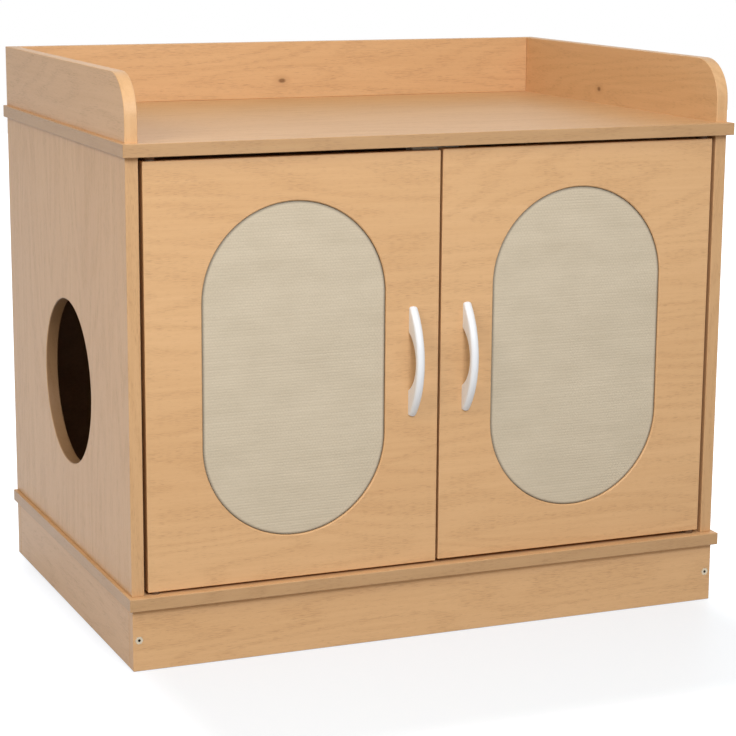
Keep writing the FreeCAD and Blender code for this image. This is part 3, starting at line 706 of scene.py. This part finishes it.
def roll_steps():
    """The steps (outwards, back) of a quarter of an ellipse."""
    turns = [math.pi / 2 * k / roll_count for k in range(roll_count + 1)]
    return [(roll_width * (math.sin(b) - math.sin(a)), roll_depth * (math.cos(a) - math.cos(b)))
            for a, b in zip(turns, turns[1:])]


def roll_edge(bm, width, height, steps):
    """Rolls the border back over the core and gives the edges where it ends."""
    border = [edge for edge in bm.edges if edge.is_boundary]
    for outward, back in steps:
        made = bmesh.ops.extrude_edge_only(bm, edges=border)["geom"]
        for vert in verts_in(made):
            away = stadium_gap(vert.co.x, vert.co.z, width, height)[1]
            vert.co += away * outward + Vector((0, back, 0))
        border = [edge for edge in edges_in(made) if edge.is_boundary]
    return border


def raise_ribs(bm, width, height, phase):
    """Lifts every rib, lets it wander a little and swell where a binding yarn lets it."""
    for vert in bm.verts:
        x, z = vert.co.x, vert.co.z
        gap = stadium_gap(x, z, width, height)[0]
        wander = noise.noise(Vector((x * 9 + phase, z * 14, phase))) * rib_wander
        across = z / rib_pitch + wander
        swell = 0.82 + rib_swell * noise.noise(Vector((x * 160, math.floor(across) * 1.7, phase)))
        rib = abs(math.sin(math.pi * across)) ** 0.7
        calm = calm_rib + (1 - calm_rib) * min(1.0, gap / calm_reach)
        crown = pad_crown * min(1.0, gap / crown_reach)
        vert.co.y -= rib * rib_height * swell * calm + crown


print("border rolled in", roll_count, "steps")

# %% [markdown]
# The two cloths are the same but for their yarns. Each one closes behind its border, stands in the
# place of the frame's plain solid and rides its door. Its flat size is the solid's own outline.
# %% Pad cloth pieces
cloth_set_back = 0.0003
cloth_sharp = math.radians(70)


def pad_cloth(side, phase):
    """One cloth, whose ribs wander by this phase."""
    low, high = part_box(f"{side}_pad_cloth")
    width, height = high.x - low.x, high.z - low.z
    bm = trimmed_grid(width - 2 * roll_width, height - 2 * roll_width)
    raise_ribs(bm, width, height, phase)
    border = roll_edge(bm, width, height, roll_steps() + [(0.0, high.y - low.y - roll_depth)])
    bmesh.ops.holes_fill(bm, edges=border, sides=len(border))
    bmesh.ops.triangulate(bm, faces=[face for face in bm.faces if len(face.verts) > 5])
    middle = (low + high) / 2
    bmesh.ops.translate(bm, vec=(middle.x, low.y + cloth_set_back, middle.z), verts=bm.verts)
    bmesh.ops.recalc_face_normals(bm, faces=bm.faces)
    smooth_shading(bm, cloth_sharp)
    made = make_object(f"{side}_scratch_cloth", bm)
    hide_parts(f"{side}_pad_cloth")
    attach(made, f"{side}_door")
    return made


cloths = [pad_cloth("left", 3.0), pad_cloth("right", 11.0)]
print("cloth triangles:", [triangle_count(cloth) for cloth in cloths])

# %% [markdown]
# ## Cloth material
# The yarn is sisal: stiff pale fibres, none quite the colour of the next. Each rib has its own tone,
# each stretch between binding yarns has painted shade at its ends, as do the valleys between the ribs,
# and fine fibres run along the rib. The border darkens towards the seam round the pad as painted shade,
# which the material measures from the stadium's spine.
# The whole is dull, with the soft rim of light that loose fibres give.
# %% Woven yarn group
binder_pitch = 0.0040
# Painted shade towards the seam and in the gaps of the weave.
seam_shade_reach, seam_shade = 0.0036, 0.50
gap_shade = 0.92
yarn_light, yarn_dark = (0.640, 0.540, 0.400, 1), (0.505, 0.420, 0.300, 1)
hair_tone, hair_share = (0.74, 0.66, 0.52, 1), 0.35
weave_relief = 0.00035
cloth_roughness, cloth_specular, cloth_sheen = 0.86, 0.25, 0.12


def make_woven_yarn():
    """The weave's colour and relief; Radius and Straight are the stadium's, for the seam's shade."""
    tree, given, out = shader_group(
        "woven_yarn", [("Place", ARROW), ("Pitch", GREY), ("Binder", GREY), ("Radius", GREY),
                       ("Straight", GREY)],
        [("Colour", COLOUR), ("Relief", GREY)])
    parts = put(tree, "SeparateXYZ", {0: given["Place"]}).outputs
    across = calc(tree, "DIVIDE", parts[2], given["Pitch"])
    row = calc(tree, "FLOOR", across)
    own = put(tree, "TexWhiteNoise", {"W": row}, noise_dimensions="1D").outputs["Value"]
    along = calc(tree, "MULTIPLY_ADD", row, 0.5, calc(tree, "DIVIDE", parts[0], given["Binder"]))
    lump = calc(tree, "ABSOLUTE", calc(tree, "SINE", times(tree, along, math.pi)))
    lump = calc(tree, "POWER", lump, 0.5)
    valley = calc(tree, "ABSOLUTE", calc(tree, "SINE", times(tree, across, math.pi)))
    place = given["Place"]
    fibre = cloud(tree, place, (240, 240, 2600), detail=4.0, roughness=0.65, distortion=0.3)
    hairs = ramp(tree, cloud(tree, place, (500, 900, 3800), detail=2.0, distortion=0.8), 0.62, 0.74)
    broad = cloud(tree, place, (16, 16, 30), detail=3.0)
    tone = swung(tree, fibre, 0.6, swung(tree, own, 0.14))
    tone = swung(tree, broad, 0.8, tone, clamp=True)
    colour = blend_colour(tree, tone, yarn_light, yarn_dark)
    shade = times(tree, ramp(tree, valley, 0.0, 0.5, gap_shade, 1.0),
                  ramp(tree, lump, 0.0, 0.5, gap_shade, 1.0))
    rise = calc(tree, "SUBTRACT", calc(tree, "ABSOLUTE", parts[2]), given["Straight"])
    spoke = put(tree, "CombineXYZ", {0: parts[0], 1: 0.0, 2: calc(tree, "MAXIMUM", rise, 0.0)}).outputs[0]
    to_seam = calc(tree, "SUBTRACT", given["Radius"], length_of(tree, spoke))
    shade = times(tree, shade, ramp(tree, to_seam, 0.0, seam_shade_reach, seam_shade, 1.0))
    colour = tinted(tree, colour, put(tree, "CombineXYZ", {0: shade, 1: shade, 2: shade}).outputs[0])
    colour = blend_colour(tree, times(tree, hairs, hair_share), colour, hair_tone)
    relief = calc(tree, "ADD", times(tree, lump, 0.7), times(tree, fibre, 0.8))
    fill(tree, out, {"Colour": colour, "Relief": relief})
    return tree


woven_yarn = make_woven_yarn()


def cloth_material(side):
    """The weave, counted from the middle of this pad as its ribs are."""
    material, tree, shader = new_material(f"{side}_sisal")
    low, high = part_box(f"{side}_pad_cloth")
    middle = (low + high) / 2
    centred = vector_calc(tree, "SUBTRACT", object_place(tree), (middle.x, 0.0, middle.z))
    yarn = put(tree, "Group", {
        "Place": centred, "Pitch": rib_pitch, "Binder": binder_pitch, "Radius": (high.x - low.x) / 2,
        "Straight": (high.z - low.z - high.x + low.x) / 2}, node_tree=woven_yarn)
    add_bump(tree, shader, yarn.outputs["Relief"], weave_relief, 0.7)
    fill(tree, shader, {
        "Base Color": yarn.outputs["Colour"], "Roughness": cloth_roughness,
        "Specular IOR Level": cloth_specular, "Sheen Weight": cloth_sheen, "Sheen Roughness": 0.5})
    return material


for side, cloth in zip(("left", "right"), cloths):
    dress(cloth, cloth_material(side))
print("group:", woven_yarn.name)

# %% [markdown]
# ## Bow handles
# Each handle is a cast bow: one long outer arc from tip to tip, and a shorter arch that leaves room
# for the fingers. Its outline is drawn with spins of single points, since an arc through three points
# is one turn about its centre. The outline is filled and pushed to the handle's width, and the rims of
# the inner arch are bevelled. Lengthways cuts then let the front and the tips curve from side to side.
# %% Bow handle geometry
handle_end = 0.003
handle_waist = 0.008
handle_grip = 0.068
front_round = 0.0042
tip_round = 0.0028
back_round = 0.0016
round_cuts = (-0.985, -0.93, -0.82, -0.65, -0.4, 0.0, 0.4, 0.65, 0.82, 0.93, 0.985)
arc_steps = 40
bevel_steps = 4
handle_sharp = math.radians(32)


def arc_radius(span, sagitta):
    """The radius of an arc from its span and its height."""
    return (span * span / 4 + sagitta * sagitta) / (2 * sagitta)


def arc_from(bm, start, span, sagitta, side_z, steps):
    """Extends the outline from the vertex start by an arc in the YZ plane, bulging towards -Y."""
    radius = arc_radius(span, sagitta)
    half_turn = math.asin(span / 2 / radius)
    centre = Vector((start.co.x, start.co.y - sagitta + radius, start.co.z + side_z * span / 2))
    made = bmesh.ops.spin(bm, geom=[start], cent=centre, axis=(1, 0, 0), dvec=(0, 0, 0),
                          angle=side_z * -2 * half_turn, steps=steps, use_duplicate=False)
    return verts_in(made["geom_last"])[0]


def bow_handle(side):
    """One handle, in the size and place of the frame's plain one."""
    low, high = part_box(f"{side}_handle")
    reach, length, centre_z = high.y - low.y, high.z - low.z, (low.z + high.z) / 2
    bm = bmesh.new()
    foot_low = bm.verts.new((low.x, high.y, low.z))
    tip_low = bm.verts.new((low.x, high.y - handle_end, low.z))
    tip_high = arc_from(bm, tip_low, length, reach - handle_end, 1, arc_steps)
    foot_high = bm.verts.new((low.x, high.y, high.z))
    grip_high = bm.verts.new((low.x, high.y, centre_z + handle_grip / 2))
    grip_low = arc_from(bm, grip_high, handle_grip, reach - handle_waist, -1, arc_steps // 2)
    join_points(bm, foot_low, tip_low)
    join_points(bm, tip_high, foot_high, grip_high)
    join_points(bm, grip_low, foot_low)
    bmesh.ops.contextual_create(bm, geom=bm.edges[:])
    pushed = bmesh.ops.extrude_face_region(bm, geom=bm.faces[:])["geom"]
    bmesh.ops.translate(bm, vec=(high.x - low.x, 0, 0), verts=verts_in(pushed))
    bmesh.ops.recalc_face_normals(bm, faces=bm.faces)
    arch = [edge for edge in bm.edges if abs(edge.verts[0].co.x - edge.verts[1].co.x) < 1e-6
            and min(v.co.y for v in edge.verts) < high.y - 1e-6
            and all(abs(v.co.z - centre_z) < handle_grip / 2 + 1e-6 for v in edge.verts)
            and not any(on_outer_arc(v.co, low, high) for v in edge.verts)]
    bmesh.ops.bevel(bm, geom=arch, offset=back_round, offset_type="OFFSET", affect="EDGES",
                    segments=bevel_steps, profile=0.5, material=-1, clamp_overlap=True)
    round_front(bm, low, high)
    bmesh.ops.triangulate(bm, faces=[face for face in bm.faces if len(face.verts) > 4])
    smooth_shading(bm, handle_sharp)
    made = make_object(f"{side}_bow_handle", bm)
    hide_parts(f"{side}_handle")
    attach(made, f"{side}_door")
    dress(made, lacquer)
    return made


def on_outer_arc(point, low, high):
    """Whether a point lies on the bow's long outer arc."""
    radius = arc_radius(high.z - low.z, high.y - low.y - handle_end)
    away = Vector((point.y - low.y - radius, point.z - (low.z + high.z) / 2)).length
    return abs(away - radius) < 1e-5


def round_front(bm, low, high):
    """Cuts the bow lengthways and curves its front and its tips from side to side."""
    middle, half = (low + high) / 2, (high - low) / 2
    for share in round_cuts:
        cut_flat(bm, (middle.x + share * half.x, 0, 0), (1, 0, 0))
    for vert in bm.verts:
        side = min(1.0, abs(vert.co.x - middle.x) / half.x)
        curve = 1 - math.sqrt(1 - side * side)
        at_tip = abs(vert.co.z - middle.z) > half.z - 1e-6
        if on_outer_arc(vert.co, low, high):
            vert.co.y += curve * min(front_round, 0.8 * (high.y - vert.co.y))
        if at_tip:
            vert.co.z -= math.copysign(curve * tip_round, vert.co.z - middle.z)


handles = [bow_handle(side) for side in ("left", "right")]
print("handle triangles:", [triangle_count(handle) for handle in handles])

# %% [markdown]
# ## Screws and other turned pieces
# A screw is a turned piece with a recess in its head. The frame already says where each one sits and
# how long it is, so every solid of a node is found by walking over its faces, and a detailed piece of
# the same size is made in its place: a profile spun round the axis, and a recess let into the flat of
# the head.
# %% Find the solids of a node
def solids_of(node):
    """The box of each separate solid in a node, as (low corner, high corner, points)."""
    bm = bmesh.new()
    bm.from_mesh(nodes[node].data)
    bmesh.ops.remove_doubles(bm, verts=bm.verts, dist=1e-6)
    waiting = set(bm.verts)
    found = []
    while waiting:
        edge_of_search = [waiting.pop()]
        members = []
        while edge_of_search:
            vert = edge_of_search.pop()
            members.append(vert.co.copy())
            for edge in vert.link_edges:
                other = edge.other_vert(vert)
                if other in waiting:
                    waiting.discard(other)
                    edge_of_search.append(other)
        low = Vector([min(p[k] for p in members) for k in range(3)])
        high = Vector([max(p[k] for p in members) for k in range(3)])
        found.append((low, high, members))
    bm.free()
    return sorted(found, key=lambda item: tuple(round(c, 4) for c in item[0]))


def turning_axis(low, high, members):
    """Where a screw-like solid's head is, and the way its shank points."""
    size = high - low
    axis = max(range(3), key=lambda k: size[k])
    middle = (low + high) / 2
    reach = [max((p - middle - Vector([(p - middle)[k] if k == axis else 0 for k in range(3)])).length
                 for p in members if abs(p[axis] - end[axis]) < size[axis] * 0.1) for end in (low, high)]
    head_low = reach[0] > reach[1]
    start = middle.copy()
    start[axis] = low[axis] if head_low else high[axis]
    way = Vector([0, 0, 0])
    way[axis] = 1 if head_low else -1
    return start, way, size[axis]


print("plinth screws found:", len(solids_of("plinth_screws")))

# %% [markdown]
# A turned piece starts from its flat: the recess is drawn there and pushed in, a ring of the same count
# as the spin closes the flat round it, and the profile is spun to the far end. Pieces of one node are
# joined, so that one named piece stands for the node.
# %% Turned pieces with a recess
turn_steps = 32
recess_taper = 0.8
cross_arm = 0.6
screw_sharp = math.radians(30)


def recess_loop(bm, shape, size):
    """The outline of a hexagon socket or a driver cross, flat at z = 0, as edges."""
    if shape == "hexagon":
        bmesh.ops.create_circle(bm, segments=6, radius=size / math.sqrt(3))
        return bm.edges[:]
    bmesh.ops.create_grid(bm, x_segments=3, y_segments=3, size=size)
    for vert in bm.verts:
        for axis in (0, 1):
            if abs(vert.co[axis]) < size * 0.5:
                vert.co[axis] *= cross_arm
    corners = [face for face in bm.faces
               if min(abs(part) for part in face.calc_center_median()[:2]) > size * 0.2]
    bmesh.ops.delete(bm, geom=corners, context="FACES")
    bmesh.ops.delete(bm, geom=[edge for edge in bm.edges if not edge.link_faces], context="EDGES")
    outline = [edge for edge in bm.edges if edge.is_boundary]
    bmesh.ops.delete(bm, geom=bm.faces[:], context="FACES_ONLY")
    bmesh.ops.delete(bm, geom=[e for e in bm.edges if e not in outline], context="EDGES_FACES")
    return outline


def turned_piece(profile, flat_radius, recess, recess_size, recess_depth):
    """A turned solid along +Z whose profile starts at the rim of its flat; the recess is in the flat."""
    bm = bmesh.new()
    outline = recess_loop(bm, recess, recess_size)
    made = bmesh.ops.extrude_edge_only(bm, edges=outline)["geom"]
    floor_verts = verts_in(made)
    floor_edges = [edge for edge in edges_in(made) if edge.is_boundary and edge not in outline]
    bmesh.ops.translate(bm, vec=(0, 0, recess_depth), verts=floor_verts)
    bmesh.ops.scale(bm, vec=(recess_taper, recess_taper, 1), verts=floor_verts)
    bmesh.ops.contextual_create(bm, geom=floor_edges)
    rim = bmesh.ops.create_circle(bm, segments=turn_steps, radius=flat_radius)["verts"]
    rim_edges = [edge for edge in bm.edges if edge.verts[0] in rim and edge.verts[1] in rim]
    bmesh.ops.bridge_loops(bm, edges=outline + rim_edges)
    points = [bm.verts.new((0, radius, along)) for radius, along in [(flat_radius, 0.0)] + profile]
    join_points(bm, *points)
    chain = points + [edge for edge in bm.edges if edge.verts[0] in points and edge.verts[1] in points]
    bmesh.ops.spin(bm, geom=chain, cent=(0, 0, 0), axis=(0, 0, 1), dvec=(0, 0, 0),
                   angle=2 * math.pi, steps=turn_steps, use_merge=True, use_duplicate=False)
    bmesh.ops.remove_doubles(bm, verts=bm.verts, dist=1e-6)
    bmesh.ops.recalc_face_normals(bm, faces=bm.faces)
    return bm


def set_at(bm, start, way):
    """Turns a +Z piece the way it points and moves it to its start."""
    turn = Vector((0, 0, 1)).rotation_difference(way).to_matrix()
    bmesh.ops.rotate(bm, cent=(0, 0, 0), matrix=turn, verts=bm.verts)
    bmesh.ops.translate(bm, vec=start, verts=bm.verts)


def turned_set(title, node, body, material, make_one):
    """One piece that stands for a node of several turned solids."""
    whole = bmesh.new()
    spots = [turning_axis(*solid) for solid in solids_of(node)]
    for start, way, length in spots:
        one = make_one(length)
        set_at(one, start, way)
        shell = bpy.data.meshes.new("shell")
        one.to_mesh(shell)
        one.free()
        whole.from_mesh(shell)
        bpy.data.meshes.remove(shell)
    smooth_shading(whole, screw_sharp)
    made = make_object(title, whole)
    dress(made, material)
    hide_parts(node)
    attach(made, body)
    print(title, len(spots), "solids")


print("turned pieces have", turn_steps, "sides")

# %% [markdown]
# The plinth is held by confirmat screws with a hexagon socket, the small ones are cross-headed wood
# screws, and the handles hang on pan-head machine screws. Each profile is written as (radius, distance
# from the face), in metres. The cams, pivot pins and bushes keep the frame's shape and take a finish;
# the pins and bushes are dark brown as painted shade, so they sink into the shade of the door gaps.
# %% Screws, cams, pins and bushes
def confirmat(length):
    """A wide flat head, a short cone and a straight shank with a blunt point."""
    profile = [(0.0050, 0.0003), (0.0050, 0.0006), (0.0033, 0.0024), (0.0032, length - 0.003),
               (0.0010, length), (0.0, length)]
    return turned_piece(profile, 0.0047, "hexagon", 0.0032, 0.0004)


def wood_screw(head_radius, shank_radius):
    """Gives the maker of a countersunk screw with these radii."""
    def make(length):
        neck = 0.0004 + head_radius - shank_radius
        profile = [(head_radius, 0.00012), (head_radius, 0.0004), (shank_radius, neck),
                   (shank_radius, length - 2 * shank_radius), (0.0, length)]
        return turned_piece(profile, head_radius - 0.00015, "cross", head_radius * 0.62,
                            head_radius * 0.45)
    return make


def handle_screw(length):
    """A domed pan head on a machine-screw shank."""
    profile = [(0.0034, 0.00035), (0.0039, 0.0009), (0.0042, 0.0018), (0.0042, 0.0024),
               (0.0020, 0.0024), (0.0020, length), (0.0, length)]
    return turned_piece(profile, 0.0025, "cross", 0.0021, 0.0014)


small_screw = wood_screw(0.003, 0.0015)
screw_sets = [("confirmat_screws", "plinth_screws", "carcass", confirmat),
              ("rail_screws", "gallery_screws", "carcass", wood_screw(0.004, 0.002)),
              ("catch_housing_screws", "catch_screws", "carcass", small_screw)]
for side in ("left", "right"):
    screw_sets += [
        (f"{side}_backing_board_screws", f"{side}_backing_screws", f"{side}_door", small_screw),
        (f"{side}_strike_plate_screw", f"{side}_strike_screw", f"{side}_door", small_screw),
        (f"{side}_pan_head_screws", f"{side}_handle_screws", f"{side}_door", handle_screw)]
    # Painted shade: the bushes are dark brown.
    dress(nodes[f"{side}_pivot_bushes"], bush_nylon_shade_dark)
for title, node, body, make_one in screw_sets:
    turned_set(title, node, body, steel, make_one)
dress(nodes["side_cam_locks"], zinc)
dress(nodes["door_pivot_pins"], pin_steel_shade_dark)
print("all", len(nodes), "nodes dressed or replaced")
